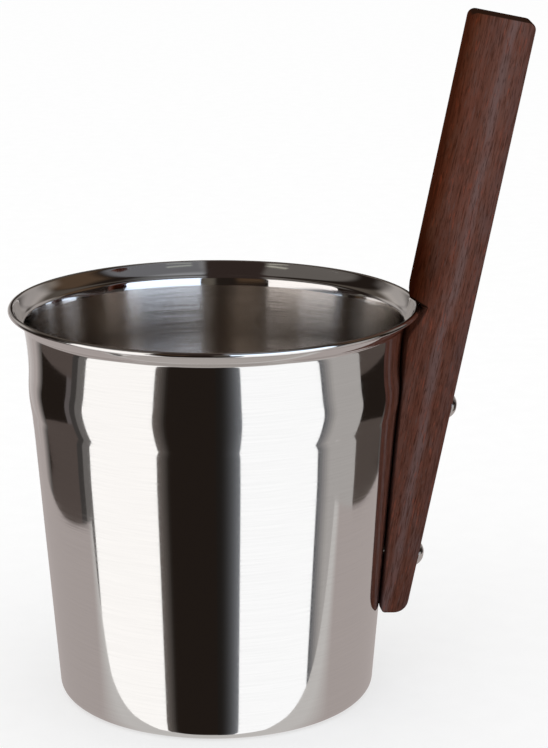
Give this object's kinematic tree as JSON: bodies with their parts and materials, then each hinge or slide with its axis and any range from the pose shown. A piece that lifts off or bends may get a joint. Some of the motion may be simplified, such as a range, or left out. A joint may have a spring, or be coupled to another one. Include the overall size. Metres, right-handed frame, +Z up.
{
  "type": "sauna pail",
  "caption": "Polished steel sauna pail with a flared rolled rim, a creased wall and a straight dark wooden side handle bolted through the wall",
  "frame": {"origin": "centre of the pail's base, on the surface it stands on", "axes": "+Z up, +X from the pail's axis towards the handle, Y across the handle's thickness"},
  "size_m": [0.2515, 0.2, 0.3374],
  "materials": {
    "polished_steel": "stainless sheet, near-mirror polish outside with fine level polishing lines, satin brushed inside",
    "dark_wood": "heat-treated dark red-brown wood, straight fine grain, oiled satin",
    "fastener_steel": "polished stainless fasteners",
    "seal_rubber": "matt black moulded rubber"
  },
  "bodies": {
    "root": {"pail": "polished_steel", "handle": "dark_wood", "upper_bolt": "fastener_steel", "lower_bolt": "fastener_steel", "upper_seal": "seal_rubber", "lower_seal": "seal_rubber", "upper_washer": "fastener_steel", "lower_washer": "fastener_steel", "upper_cap_nut": "fastener_steel", "lower_cap_nut": "fastener_steel"}
  },
  "joints": []
}
